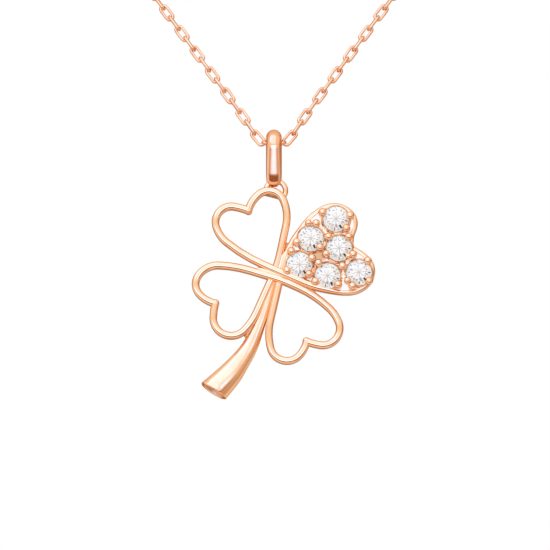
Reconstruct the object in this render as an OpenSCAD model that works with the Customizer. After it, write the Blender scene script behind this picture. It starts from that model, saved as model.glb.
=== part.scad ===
// Four leaf clover pendant on a fine chain: three open wire leaves, one leaf set with six stones,
// a trumpet stem, a soldered ring, a half-round bail and the whole necklace loop.
// The origin is at the nape, +X runs to the right of the picture, the pendant faces -Y, +Z is up.

/* [Clover wire] */
// Width of the wire seen from the front
wire_w = 0.65; // [0.55:0.01:0.75]
// Depth of the wire from its round front to its flat back
wire_d = 1.0; // [0.85:0.01:1.2]
// Chamfer on the back edges of the wire
wire_ch = 0.08; // [0.05:0.01:0.15]

/* [Stones] */
// Diameter of each round stone
stone_d = 2.25; // [2.1:0.05:2.35]
// Metal between two neighbouring stones, which with the stone sets the size of the clover
stone_gap = 0.35; // [0.3:0.01:0.5]
// Height of a stone's girdle band
girdle_h = 0.06; // [0.03:0.01:0.1]
// Height of the lower girdle edge above the plate
stone_rise = 0.15; // [0.1:0.01:0.3]
// Gap between a stone and the metal round it
stone_clear = 0.03; // [0.02:0.01:0.05]

/* [Prongs] */
// Diameter of a prong's post
prong_d = 0.46; // [0.4:0.01:0.5]
// Diameter of the bead on a prong
bead_d = 0.6; // [0.54:0.01:0.66]

/* [Plate] */
// Rounding of the stone plate's front edge
rim_r = 0.24; // [0.15:0.01:0.3]
// Step from the rim down to the field that carries the stones
field_step = 0.06; // [0.03:0.01:0.1]

/* [Stem] */
// Depth of the hollow in the stem's end
cup_depth = 0.55; // [0.3:0.05:0.8]
// Thickness of the lip round that hollow
cup_lip = 0.26; // [0.2:0.01:0.35]
// How far the stem lies behind the middle of the wire
stem_back = 0.25; // [0.15:0.01:0.35]

/* [Ring] */
// Outer diameter of the ring soldered to the top leaf
ring_d = 2.16; // [2.1:0.01:2.3]
// Thickness of the ring's wire
ring_wire = 0.46; // [0.4:0.01:0.5]
// Thickness of the solder bar that closes the ring
foot_d = 0.4; // [0.3:0.01:0.45]
// How far the ring lies behind the middle of the clover wire
ring_back = 0.15; // [0.1:0.01:0.25]
// Height of the ring's middle over the wire's middle line, across the leaf
ring_rise = 0.14; // [0.12:0.01:0.25]
// How far the ring sits to the right of the bail
ring_side = 0.16; // [0.1:0.01:0.18]

/* [Bail] */
// Width of the bail's band
bail_w = 1.37; // [1.2:0.01:1.5]
// Inner radius of the bail's round top, seen from the side
bail_in_r = 0.7; // [0.65:0.01:0.8]
// Thickness of the band at the top
bail_t = 0.86; // [0.8:0.01:0.9]
// Distance from the chain's middle line down to the ring wire's middle line
bail_drop = 3.135; // [2.9:0.005:3.5]
// Gap between the bail's tail and the ring it holds
swing_gap = 0.04; // [0.03:0.01:0.08]

/* [Chain] */
// Width of the chain
chain_d = 0.8; // [0.7:0.01:0.86]
// Gap between the chain and the bail's underside
chain_gap = 0.11; // [0.09:0.01:0.15]

/* [Clasp] */
// Outer diameter of the round clasp
clasp_d = 5.5; // [5:0.1:6]
// Thickness of the clasp's tube
clasp_tube = 1.1; // [0.9:0.05:1.3]
// Outer diameter of the small loop on the clasp
loop_d = 1.7; // [1.6:0.05:2]
// Thickness of the small loop's wire
loop_wire = 0.5; // [0.4:0.02:0.55]
// Outer diameter of the ring that the clasp catches
end_ring_d = 3.1; // [3:0.1:3.4]
// Thickness of that ring's wire
end_ring_wire = 0.6; // [0.5:0.02:0.65]
// Gap between the pieces that meet at the nape
clasp_gap = 0.15; // [0.1:0.01:0.2]

/* [Hidden] */
$fn = 64;
eps = 0.01;
// What a thin run of wire loses all round, and how far it laps into its neighbours
hair = 0.002;
lap = 0.04;
gold = "#e8a878";

// The stone pitch is the unit of every share in the tables below.
pitch = stone_d + stone_gap;

// Notches of the four leaves, from the middle of the crossing, in shares of the pitch
notch = [[-1.05, 2.0], [-2.15, -1.11], [0.89, -2.38], [2.35, 0.7]];

// Each row is one side of a leaf, from its notch round its lobe to the crossing:
// leaf, heading at the notch in degrees, first straight run, then arcs as [radius, sweep].
// Runs and radii are shares of the pitch, and a sweep is positive to the left.
sides = [
    [1, 75, 0, [[1.05, -36], [0.53, -106], [1.4, -35]]],
    [1, 158, 0, [[2.2, 13], [0.53, 117], [1.1, 33], [5.5, 15]]],
    [2, 167, 0, [[1.0, -36], [0.5, -76], [0.8, -57], [4.0, -15]]],
    [2, 257, 0, [[2.6, 10], [0.6, 139], [2.1, 20]]],
    [3, 258, 0, [[1.0, -30], [0.56, -124], [2.0, -27]]],
    [3, 339, 0, [[2.2, 12], [0.57, 121], [1.3, 25], [3.8, 19]]],
    [4, 94, 0.18, [[0.96, -29], [0.48, 68], [0.73, 74], [1.82, 26]]],
    [4, 334, 0.14, [[1.6, -17], [0.57, -89], [0.86, -46], [2.5, -12]]]
];
// Two sides run into one another through the crossing: first side, second side, bend radius
crossings = [[0, 3, 4.0], [2, 5, 3.5], [4, 6, 3.0], [7, 1, 3.0]];
// The two sides that edge the stone plate, from the rows above
plate_up = crossings[2][1];
plate_low = crossings[3][0];

// Middles of the stones from the middle of the crossing, in shares of the pitch
stones = [[1.87, 1.68], [1.03, 1.03], [1.97, 0.7], [0.65, 0.15], [1.59, -0.22], [2.63, -0.11]];
// Prongs: stone, angle round it, distance from its middle as a share of the pitch, size share
prongs = [
    [1, 150, 0.52, 1], [1, 18, 0.49, 1], [1, -39, 0.44, 1],
    [2, 98, 0.56, 0.85], [2, 71.5, 0.57, 1], [2, 190.5, 0.48, 1], [2, -41, 0.4, 1],
    [3, 130, 0.55, 1], [3, 52.7, 0.53, 1], [3, 199.5, 0.46, 1], [3, -20, 0.49, 1],
    [4, 119, 0.56, 1], [4, 31.4, 0.49, 1], [4, 200.5, 0.44, 1], [4, -41.5, 0.42, 1],
    [5, 123.7, 0.55, 1], [5, 36, 0.61, 1], [5, 200, 0.44, 1], [5, -36.4, 0.43, 1],
    [6, 56, 0.52, 1], [6, 242.4, 0.47, 1], [6, -37.5, 0.42, 1], [6, 211, 0.45, 0.8]
];

// Proportions of a round brilliant, as shares of its radius
table_r = 0.56;
star_r = 0.78;
lower_r = 0.25;
crown_share = 0.32;
pavilion_share = 0.86;
facets = 8;
// Radius of the round opening behind each stone
seat_hole_r = 0.55;

// Sections of the stem, from the crossing to its open end:
// x and y as shares of the pitch, width as a share of the pitch, heading of the section
stem_rows = [
    [-0.2, -0.3, 0.17, 253], [-0.5, -1.33, 0.3, 251], [-0.87, -2.27, 0.49, 245],
    [-1.08, -2.68, 0.57, 241], [-1.35, -3.07, 0.68, 237], [-1.69, -3.5, 0.83, 235], [-2.17, -3.99, 0.97, 238]
];
// Depth of a section as a share of its width
stem_round = 0.82;
stem_sides = 20;
// Radius of the lip's crest and of the hollow's floor, as shares of the lip's inner radius
cup_crest = 1.16;
cup_floor = 0.8;

// The half of the bail's loop, from its top to its tail:
// place along it, share of the band's width, share of its top thickness, inward crown of its underside
bail_rows = [
    [0, 1, 1, 0.1], [0.35, 1, 0.76, 0.1], [0.68, 1, 0.55, 0.08], [0.75, 0.82, 0.456, 0.09],
    [0.88, 0.55, 0.329, 0.12], [1, 0.41, 0.292, 0.13]
];
bail_arc_end = 0.35;
bail_tail_start = 0.75;

// Place of the ring round the right lobe of the top leaf, and the ends of its arc and of its foot
ring_lean = 67;
ring_from = -45;
ring_to = 190;
foot_from = 34;
foot_to = 117;

// Right half of the necklace's route, from the bottom of its V up to the nape
route = [
    [0, -112, -84], [0.55, -111.97, -83.91], [1.05, -111.88, -83.67], [1.43, -111.75, -83.28],
    [3, -111, -80.93], [13, -106.3, -66.65], [25, -100.6, -49.5], [36.6, -95, -32.9],
    [41.8, -91, -26], [46.2, -85.8, -21.4], [49.7, -79.7, -18.2], [52.5, -72.6, -15.9],
    [54.4, -64.8, -13.6], [55.6, -56.5, -11.3], [56, -48, -9], [55.3, -41, -7],
    [53.4, -34.3, -5.3], [50.3, -27.7, -3.9], [46, -21.5, -2.8], [41, -15.8, -1.9],
    [35, -10.7, -1.2], [28.2, -6.5, -0.7], [20.7, -3.2, -0.4], [12.7, -1, -0.1]
];
loop_mid_y = -55;
chain_sides = 8;

// Working sizes
girdle_z = wire_d / 2 + stone_rise;
crown_h = crown_share * stone_d / 2;
pavilion_h = pavilion_share * stone_d / 2;
bead_z = girdle_z + girdle_h + bead_d / 4;
bail_top_z = chain_d / 2 + chain_gap - bail_in_r;
tail_in_r = ring_wire / 2 + swing_gap;
ring_r = (ring_d - ring_wire) / 2;
clasp_r = (clasp_d - clasp_tube) / 2;
loop_r = (loop_d - loop_wire) / 2;
end_ring_r = (end_ring_d - end_ring_wire) / 2;
end_ring_x = clasp_r - clasp_tube / 2 - clasp_gap - end_ring_wire / 2 + end_ring_r;
loop_x = -clasp_d / 2 - loop_r + loop_wire / 4;
chain_right_x = end_ring_x + end_ring_d / 2 + clasp_gap;
chain_left_x = loop_x - loop_d / 2 - clasp_gap;
hang = route[0];

// Plane geometry of the wire: points, headings and runs
function ahead(a) = [cos(a), sin(a)];
function left_of(a) = [-sin(a), cos(a)];
function cross2(a, b) = a[0] * b[1] - a[1] * b[0];
// A row is [radius, sweep] for an arc, or [0, length] for a straight run
function row_point(p, h, r) = r[0] == 0 ? p + r[1] * ahead(h)
    : p + sign(r[1]) * r[0] * (left_of(h) - left_of(h + r[1]));
function row_heading(h, r) = r[0] == 0 ? h : h + r[1];
function walk(p, h, rows, i = 0) = i == len(rows) ? [[p, h]]
    : concat([[p, h]], walk(row_point(p, h, rows[i]), row_heading(h, rows[i]), rows, i + 1));
function last(v) = v[len(v) - 1];

function side_start(s) = pitch * notch[s[0] - 1];
function side_rows(s) = concat(s[2] > 0 ? [[0, pitch * s[2]]] : [],
    [for (r = s[3]) [pitch * r[0], r[1]]]);
function side_end(s) = last(walk(side_start(s), s[1], side_rows(s)));
// Distance from a's end, along its heading, to where b's last run crosses it
function reach(a, b) = cross2(b[0] - a[0], ahead(b[1])) / cross2(ahead(a[1]), ahead(b[1]));
// Turn from heading a to heading b, between -180 and 180
function turn(a, b) = (b - a + 540) % 360 - 180;

// Rows of a whole side up to the middle of the crossing, with the bend in the first side of a pair
function joint_turn(c) = turn(side_end(sides[c[0]])[1], side_end(sides[c[1]])[1] + 180);
function joint_cut(c) = pitch * c[2] * tan(abs(joint_turn(c)) / 2);
function first_rows(c) = concat(side_rows(sides[c[0]]),
    [[0, reach(side_end(sides[c[0]]), side_end(sides[c[1]])) - joint_cut(c)], [pitch * c[2], joint_turn(c)]]);
function second_rows(c) = concat(side_rows(sides[c[1]]),
    [[0, reach(side_end(sides[c[1]]), side_end(sides[c[0]])) - joint_cut(c)]]);

// Points along rows for the plate's outline, at most trace_step degrees apart on an arc
trace_step = 6;
function arc_points(p, h, r, n) = [for (k = [1 : n]) row_point(p, h, [r[0], r[1] * k / n])];
function row_trace(p, h, r) = arc_points(p, h, r, r[0] == 0 ? 1 : ceil(abs(r[1]) / trace_step));
function trace(p, h, rows) = let (w = walk(p, h, rows))
    [for (i = [0 : len(rows) - 1]) each row_trace(w[i][0], w[i][1], rows[i])];
function reversed(v) = [for (i = [len(v) - 1 : -1 : 0]) v[i]];

// Where the plate's two edges meet at the crossing
up_end = side_end(sides[plate_up]);
low_end = side_end(sides[plate_low]);
inner_corner = up_end[0] + reach(up_end, low_end) * ahead(up_end[1]);

// Ring, bail and clover places, from the chain's lowest point
lobe = walk(side_start(sides[0]), sides[0][1], side_rows(sides[0]))[1];
lobe_r = pitch * sides[0][3][1][0];
lobe_mid = lobe[0] - lobe_r * left_of(lobe[1]);
ring_mid = [ring_side, -bail_drop - ring_r];
ring_in_clover = lobe_mid + (lobe_r + ring_rise) * ahead(ring_lean);
clover_mid = ring_mid - ring_in_clover;

// Outline of the wire: half-round front, straight sides, flat back with small chamfers.
// x runs to the left of the run and y to the front. trim takes a hair off all round.
module wire_outline(trim) {
    shoulder = wire_d / 2 - wire_w / 2;
    side = wire_w / 2 - trim;
    back = -wire_d / 2 + trim;
    translate([0, shoulder])
        intersection() {
            circle(r = side);
            translate([-wire_w, 0]) square([2 * wire_w, wire_w]);
        }
    polygon([[-side, shoulder], [-side, back + wire_ch], [-side + wire_ch, back],
        [side - wire_ch, back], [side, back + wire_ch], [side, shoulder]]);
}

// Outline of the plate's rim, with its round edge on the side that s gives: 1 left, -1 right
module rim_outline(s, trim) {
    inner = wire_w / 2 - rim_r;
    shoulder = wire_d / 2 - rim_r;
    side = wire_w / 2 - trim;
    back = -wire_d / 2 + trim;
    front = wire_d / 2 - trim;
    corners = [[-side, back], [side - wire_ch, back], [side, back + wire_ch], [side, shoulder],
        [inner, shoulder], [inner, front], [-side, front]];
    translate([s * inner, shoulder])
        intersection() {
            circle(r = rim_r - trim);
            translate([s > 0 ? 0 : -2 * rim_r, 0]) square(2 * rim_r);
        }
    polygon(s > 0 ? corners : [for (c = reversed(corners)) [-c[0], c[1]]]);
}

// kind 0 is the wire, 1 the rim with its round edge to the left, -1 with it to the right
module outline(kind, trim) {
    if (kind == 0) wire_outline(trim);
    else rim_outline(kind, trim);
}

module straight(length, kind, thin) {
    extra = thin ? lap : 0;
    translate([-extra, 0]) rotate([90, 0, 90]) linear_extrude(length + 2 * extra)
        outline(kind, thin ? hair : 0);
}

module bend(radius, sweep, kind, thin) {
    extra = thin ? lap / radius * 180 / PI : 0;
    trim = thin ? hair : 0;
    if (sweep > 0)
        translate([0, radius]) rotate(-90 - extra) rotate_extrude(angle = sweep + 2 * extra)
            translate([radius, 0]) outline(-kind, trim);
    else
        translate([0, -radius]) rotate(90 + sweep - extra) rotate_extrude(angle = -sweep + 2 * extra)
            translate([radius, 0]) outline(kind, trim);
}

// Rows one after another. Every second one, counted back from the last, is a hair thinner
// and laps into its neighbours, so that all of them join as one solid.
module run(p, h, rows, kinds, last_thin) {
    w = walk(p, h, rows);
    for (i = [0 : len(rows) - 1]) {
        thin = (len(rows) - 1 - i + (last_thin ? 1 : 0)) % 2 == 1;
        translate(w[i][0]) rotate(w[i][1])
            if (rows[i][0] == 0) straight(rows[i][1], kinds[i], thin);
            else bend(rows[i][0], rows[i][1], kinds[i], thin);
    }
}

// Round corner of the wire where two sides leave a notch
module notch_corner(leaf) {
    translate(pitch * notch[leaf - 1]) rotate_extrude()
        intersection() {
            wire_outline(-hair);
            translate([0, -wire_d]) square([wire_d, 2 * wire_d]);
        }
}

// The two sides of each leaf and the runs through the crossing
module wires() {
    for (c = crossings) {
        a = sides[c[0]];
        b = sides[c[1]];
        ra = first_rows(c);
        rb = second_rows(c);
        rim_a = c[0] == plate_low ? 1 : 0;
        rim_b = c[1] == plate_up ? -1 : 0;
        run(side_start(a), a[1], ra, [for (i = [0 : len(ra) - 1]) i < len(ra) - 2 ? rim_a : 0], false);
        run(side_start(b), b[1], rb, [for (i = [0 : len(rb) - 1]) i < len(rb) - 1 ? rim_b : 0], true);
    }
    for (leaf = [1 : 3]) notch_corner(leaf);
}

module plate() {
    up = sides[plate_up];
    low = sides[plate_low];
    up_trace = trace(side_start(up), up[1], side_rows(up));
    low_trace = trace(side_start(low), low[1], side_rows(low));
    translate([0, 0, -wire_d / 2]) linear_extrude(wire_d - field_step)
        polygon(concat([side_start(up)], up_trace, [inner_corner], reversed(low_trace)));
}

module prong_posts() {
    for (p = prongs) {
        size = p[3];
        translate(pitch * (stones[p[0] - 1] + p[2] * ahead(p[1]))) {
            cylinder(d = prong_d * size, h = bead_z);
            translate([0, 0, bead_z]) sphere(d = bead_d * size);
        }
    }
}

// Room for one stone, with the opening behind it
module stone_seat() {
    r = stone_d / 2 + stone_clear;
    depth = (r - seat_hole_r) * pavilion_share;
    translate([0, 0, girdle_z - depth]) cylinder(r1 = seat_hole_r, r2 = r, h = depth);
    translate([0, 0, girdle_z]) cylinder(r = r, h = girdle_h);
    translate([0, 0, girdle_z + girdle_h])
        cylinder(r1 = r, r2 = r - crown_h, h = crown_h);
    translate([0, 0, -wire_d]) cylinder(r = seat_hole_r, h = girdle_z - depth + wire_d + eps);
}

// One closed skin through rings of points that have the same number of points each
module loft(rings, looped = false) {
    n = len(rings[0]);
    m = len(rings);
    skin = [for (i = [0 : m - (looped ? 1 : 2)]) for (j = [0 : n - 1])
        let (a = i * n, b = (i + 1) % m * n, k = (j + 1) % n) each [[a + j, b + k, a + k], [a + j, b + j, b + k]]];
    ends = looped ? [] : [[for (j = [0 : n - 1]) j], [for (j = [n - 1 : -1 : 0]) (m - 1) * n + j]];
    polyhedron([for (r = rings) each r], concat(ends, skin));
}

// An oval across the stem, moved forward along the heading and scaled
function stem_oval(r, share, forward) = [for (k = [0 : stem_sides - 1])
    let (a = 360 * k / stem_sides, half = pitch * r[2] / 2 * share,
         p = pitch * [r[0], r[1]] + forward * ahead(r[3]) + half * cos(a) * left_of(r[3]))
    [p[0], p[1], half * stem_round * sin(a) - stem_back]];

module stem() {
    end = last(stem_rows);
    lip = 1 - cup_lip / (pitch * end[2] / 2);
    edge = cup_lip / 3;
    loft(concat([for (r = stem_rows) stem_oval(r, 1, 0)],
        [stem_oval(end, 1, edge), stem_oval(end, lip * cup_crest, 2 * edge),
         stem_oval(end, lip, edge), stem_oval(end, lip * cup_floor, edge - cup_depth)]));
}

module ring() {
    translate([ring_in_clover[0], ring_in_clover[1], -ring_back])
        rotate(ring_from) rotate_extrude(angle = ring_to - ring_from)
            translate([ring_r, 0]) circle(d = ring_wire);
    a = lobe_mid + lobe_r * ahead(foot_from);
    b = lobe_mid + lobe_r * ahead(foot_to);
    along = b - a;
    translate([a[0], a[1], -ring_back]) rotate(atan2(along[1], along[0]))
        rotate([0, 90, 0]) cylinder(d = foot_d, h = norm(along));
}

// Turns the clover's own plane upright, with its front to -Y, and hangs it in its place
module hung() {
    translate(hang + [clover_mid[0], -ring_back, clover_mid[1]]) rotate([90, 0, 0]) children();
}

module clover() {
    color(gold) difference() {
        union() {
            hung() wires();
            hung() plate();
            hung() prong_posts();
            hung() ring();
            hung() stem();
        }
        hung() for (s = stones) translate(pitch * s) stone_seat();
    }
}

function polar(r, a, z) = [r * cos(a), r * sin(a), z];

// A round brilliant: table, stars, kites, upper halves, girdle, lower halves and mains
module brilliant(r) {
    step = 360 / facets;
    half = step / 2;
    star_z = crown_h * (1 - star_r * cos(half)) / (1 - table_r);
    low_z = -pavilion_h * (1 - lower_r * cos(half));
    n = facets;
    points = concat(
        [for (k = [0 : n - 1]) polar(r * table_r, k * step, girdle_h + crown_h)],
        [for (k = [0 : n - 1]) polar(r * star_r, k * step + half, girdle_h + star_z)],
        [for (k = [0 : 2 * n - 1]) polar(r, k * half, girdle_h)],
        [for (k = [0 : 2 * n - 1]) polar(r, k * half, 0)],
        [for (k = [0 : n - 1]) polar(r * lower_r, k * step + half, low_z)],
        [[0, 0, -pavilion_h]]);
    star = n;
    top = 2 * n;
    under = 4 * n;
    low = 6 * n;
    culet = 7 * n;
    faces = [
        [for (k = [n - 1 : -1 : 0]) k],
        for (k = [0 : n - 1]) let (next = (k + 1) % n, before = (k + n - 1) % n)
            each [
                [k, next, star + k],
                [k, star + k, top + 2 * k], [k, top + 2 * k, star + before],
                [star + k, top + 2 * k + 1, top + 2 * k], [star + k, top + 2 * next, top + 2 * k + 1],
                [top + 2 * k, top + 2 * k + 1, under + 2 * k + 1, under + 2 * k],
                [top + 2 * k + 1, top + 2 * next, under + 2 * next, under + 2 * k + 1],
                [low + k, under + 2 * k, under + 2 * k + 1], [low + k, under + 2 * k + 1, under + 2 * next],
                [culet, under + 2 * k, low + k], [culet, low + before, under + 2 * k]
            ]];
    polyhedron(points, faces);
}

module stone(i) {
    color("white") hung() translate([pitch * stones[i - 1][0], pitch * stones[i - 1][1], girdle_z])
        brilliant(stone_d / 2);
}

// Sections of the bail: a round outside of bail_steps facets, then two facets underneath
bail_steps = 10;
function bail_column(i) = [for (r = bail_rows) [r[0], r[i]]];
function bail_normal(s, lean) = s <= bail_arc_end ? (90 + lean) * s / bail_arc_end
    : s < bail_tail_start ? 90 + lean
    : 90 + lean + (90 - lean) * (s - bail_tail_start) / (1 - bail_tail_start);
function bail_hub(s) = let (f = max(0, min(1, (s - bail_arc_end) / (bail_tail_start - bail_arc_end))))
    [bail_top_z + f * (-bail_drop - bail_top_z), bail_in_r + f * (tail_in_r - bail_in_r)];
function bail_ring(s, way) = let (
        lean = asin((bail_in_r - tail_in_r) / (bail_drop + bail_top_z)),
        a = way * bail_normal(s, lean), hub = bail_hub(s),
        half = bail_w / 2 * lookup(s, bail_column(1)), thick = bail_t * lookup(s, bail_column(2)),
        crown = lookup(s, bail_column(3)))
    [for (k = [0 : bail_steps + 3])
        let (phi = -90 + 180 * k / bail_steps, across = k <= bail_steps ? sin(phi) : (bail_steps + 2 - k) / 2,
             out = k <= bail_steps ? crown + (thick - crown) * cos(phi) : crown * pow(across, 2),
             r = hub[1] + out)
        [half * across, r * sin(a), hub[0] + r * cos(a)]];

module bail() {
    half_loop = [for (k = [0 : 8]) bail_arc_end * k / 8,
        for (k = [1 : 6]) bail_arc_end + (bail_tail_start - bail_arc_end) * k / 6,
        for (k = [1 : 6]) bail_tail_start + (1 - bail_tail_start) * k / 6];
    count = len(half_loop);
    color(gold) translate(hang)
        loft(concat([for (s = half_loop) bail_ring(s, 1)],
            [for (k = [count - 2 : -1 : 1]) bail_ring(half_loop[k], -1)]), true);
}

function unit(v) = v / norm(v);
function mirrored(p) = [-p[0], p[1], p[2]];
// A ring of points across the chain at point i of its path
function chain_ring(path, i) = let (
        before = path[max(i - 1, 0)], after = path[min(i + 1, len(path) - 1)],
        along = unit(after - before), p = path[i],
        side = unit(cross(along, [p[0], p[1] - loop_mid_y, 0])), out = cross(side, along))
    [for (k = [0 : chain_sides - 1])
        let (a = 360 * (k + 0.5) / chain_sides) p + chain_d / 2 * (cos(a) * out + sin(a) * side)];

module chain() {
    right = concat(route, [[chain_right_x, 0, 0]]);
    left = concat([for (p = route) mirrored(p)], [[chain_left_x, 0, 0]]);
    path = concat(reversed(left), [for (i = [1 : len(right) - 1]) right[i]]);
    color(gold) loft([for (i = [0 : len(path) - 1]) chain_ring(path, i)]);
}

module torus(r, wire) {
    rotate_extrude() translate([r, 0]) circle(d = wire);
}

module clasp() {
    color(gold) {
        rotate([90, 0, 0]) torus(clasp_r, clasp_tube);
        translate([loop_x, 0, 0]) torus(loop_r, loop_wire);
    }
}

module end_ring() {
    color(gold) translate([end_ring_x, 0, 0]) torus(end_ring_r, end_ring_wire);
}

chain();
clasp();
end_ring();
bail();
clover();
stone(1);  // stone_1
stone(2);  // stone_2
stone(3);  // stone_3
stone(4);  // stone_4
stone(5);  // stone_5
stone(6);  // stone_6
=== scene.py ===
import bpy
import bmesh
import math
from mathutils import Vector, Matrix


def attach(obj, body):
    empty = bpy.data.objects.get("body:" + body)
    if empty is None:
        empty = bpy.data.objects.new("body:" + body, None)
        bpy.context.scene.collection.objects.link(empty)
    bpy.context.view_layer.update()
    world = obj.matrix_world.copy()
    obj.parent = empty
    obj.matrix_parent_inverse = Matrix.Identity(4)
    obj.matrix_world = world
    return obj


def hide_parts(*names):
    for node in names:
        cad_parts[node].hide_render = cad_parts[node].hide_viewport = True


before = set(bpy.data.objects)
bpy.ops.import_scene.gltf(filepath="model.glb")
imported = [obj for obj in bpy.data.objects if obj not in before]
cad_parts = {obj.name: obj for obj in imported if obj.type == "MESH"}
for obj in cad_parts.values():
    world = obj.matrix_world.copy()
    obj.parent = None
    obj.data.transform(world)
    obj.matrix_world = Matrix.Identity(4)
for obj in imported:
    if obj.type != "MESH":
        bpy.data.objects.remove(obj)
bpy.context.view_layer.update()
mm = 0.001
pitch = 2.6  # millimetres in one unit of the clover's plan


# Shader maths on sockets

def feed(target, value):
    if isinstance(value, Signal):
        value.tree.links.new(value.socket, target)
    else:
        target.default_value = value


class Signal:
    def __init__(self, tree, socket):
        self.tree = tree
        self.socket = socket

    def maths(self, operation, *values):
        node = self.tree.nodes.new("ShaderNodeMath")
        node.operation = operation
        for target, value in zip(node.inputs, values):
            feed(target, value)
        return Signal(self.tree, node.outputs[0])

    def __add__(self, other):
        return self.maths("ADD", self, other)

    def __radd__(self, other):
        return self.maths("ADD", other, self)

    def __sub__(self, other):
        return self.maths("SUBTRACT", self, other)

    def __rsub__(self, other):
        return self.maths("SUBTRACT", other, self)

    def __mul__(self, other):
        return self.maths("MULTIPLY", self, other)

    def __rmul__(self, other):
        return self.maths("MULTIPLY", other, self)

    def __truediv__(self, other):
        return self.maths("DIVIDE", self, other)

    def __neg__(self):
        return self.maths("MULTIPLY", self, -1.0)

    def __abs__(self):
        return self.maths("ABSOLUTE", self)

    def root(self):
        return self.maths("SQRT", self)

    def wrapped(self):
        return self - self.maths("ROUND", self)

    def larger(self, other):
        return self.maths("MAXIMUM", self, other)

    def heading(self, along):
        return self.maths("ARCTAN2", self, along)

    def ramp(self, low, high):
        node = self.tree.nodes.new("ShaderNodeMapRange")
        node.interpolation_type = "SMOOTHSTEP"
        feed(node.inputs["Value"], self)
        feed(node.inputs["From Min"], low)
        feed(node.inputs["From Max"], high)
        return Signal(self.tree, node.outputs["Result"])


class Graph:
    def __init__(self, tree):
        self.tree = tree

    def node(self, kind, output=0, settings=None, sockets=None):
        made = self.tree.nodes.new(kind)
        for key, value in (settings or {}).items():
            setattr(made, key, value)
        for key, value in (sockets or {}).items():
            feed(made.inputs[key], value)
        return Signal(self.tree, made.outputs[output])

    def place(self):
        return self.node("ShaderNodeTexCoord", "Object")

    def split(self, vector):
        first = self.node("ShaderNodeSeparateXYZ", sockets={0: vector})
        return [Signal(self.tree, part) for part in first.socket.node.outputs]

    def dot(self, vector, direction):
        return self.node("ShaderNodeVectorMath", "Value", {"operation": "DOT_PRODUCT"},
                         {0: vector, 1: Vector(direction).normalized()})

    def blend(self, amount, *ends):
        first, second = ((*value, 1) if isinstance(value, tuple) else value for value in ends)
        return self.node("ShaderNodeMix", 2, {"data_type": "RGBA"}, {0: amount, 6: first, 7: second})


def newMaterial(name):
    material = bpy.data.materials.new(name)
    material.use_nodes = True
    return material, Graph(material.node_tree), material.node_tree.nodes["Principled BSDF"]


# Materials

goldLooks = {
    "roseGoldPolish": {"light": (0.985, 0.69, 0.46), "deep": (0.965, 0.64, 0.41), "rough": 0.045,
                       "vary": 0.05, "scratch": 0.05, "grain": 900},
    "roseGoldBail": {"light": (0.965, 0.61, 0.415), "deep": (0.945, 0.57, 0.375), "rough": 0.07,
                     "metal": 0.95, "vary": 0.04, "scratch": 0.04, "grain": 700},
    # The seat's pale colour is a painted highlight. A painted shade darkens it between the stones: a place
    # across and up in millimetres, how far it reaches, and its colour
    "roseGoldSeatHighlightAndShade": {"light": (0.995, 0.87, 0.74), "deep": (0.98, 0.80, 0.64), "rough": 0.30,
                     "vary": 0.08, "scratch": 0.06, "grain": 1500,
                     "paintedShades": [((3.94, -93.68), 0.85, (0.74, 0.42, 0.22))]},
    "roseGoldCollar": {"light": (0.99, 0.76, 0.56), "deep": (0.96, 0.64, 0.42), "rough": 0.12,
                       "vary": 0.06, "scratch": 0.05, "grain": 900},
    "roseGoldBead": {"light": (0.985, 0.71, 0.49), "deep": (0.95, 0.60, 0.37), "rough": 0.17,
                     "vary": 0.06, "scratch": 0.05, "grain": 900},
    # Darker and rougher than the stem: painted shade in the hollow of the stem's cup
    "roseGoldCupShade": {"light": (0.93, 0.62, 0.42), "deep": (0.85, 0.50, 0.30), "rough": 0.42,
                    "vary": 0.08, "scratch": 0.10, "grain": 1200},
    # Dark brown: painted shade, for the bar of solder under the top leaf's wire
    "roseGoldSolderShade": {"light": (0.60, 0.33, 0.16), "deep": (0.50, 0.26, 0.12), "rough": 0.25,
                       "vary": 0.08, "scratch": 0.05, "grain": 900},
    "roseGoldStem": {"light": (0.985, 0.70, 0.48), "deep": (0.965, 0.65, 0.43), "rough": 0.19,
                     "vary": 0.02, "scratch": 0.01, "grain": 900},
    # Darker than the wires: painted shade in the creases where the stem and the stone leaf meet the wires
    "roseGoldFilletShade": {"light": (0.95, 0.55, 0.29), "deep": (0.90, 0.48, 0.23), "rough": 0.36,
                       "vary": 0.05, "scratch": 0.04, "grain": 900},
    "roseGoldChain": {"light": (0.965, 0.64, 0.43), "deep": (0.90, 0.50, 0.30), "rough": 0.08,
                      "vary": 0.07, "scratch": 0.08, "grain": 1100},
}
goldGrain = {"fine": 9, "cloudDetail": 3.0, "fineDetail": 2.0, "patches": (0.35, 0.7), "shadeCore": 0.4,
             "tint": (1.0, 0.74, 0.52, 1), "depth": 0.00001}


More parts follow.
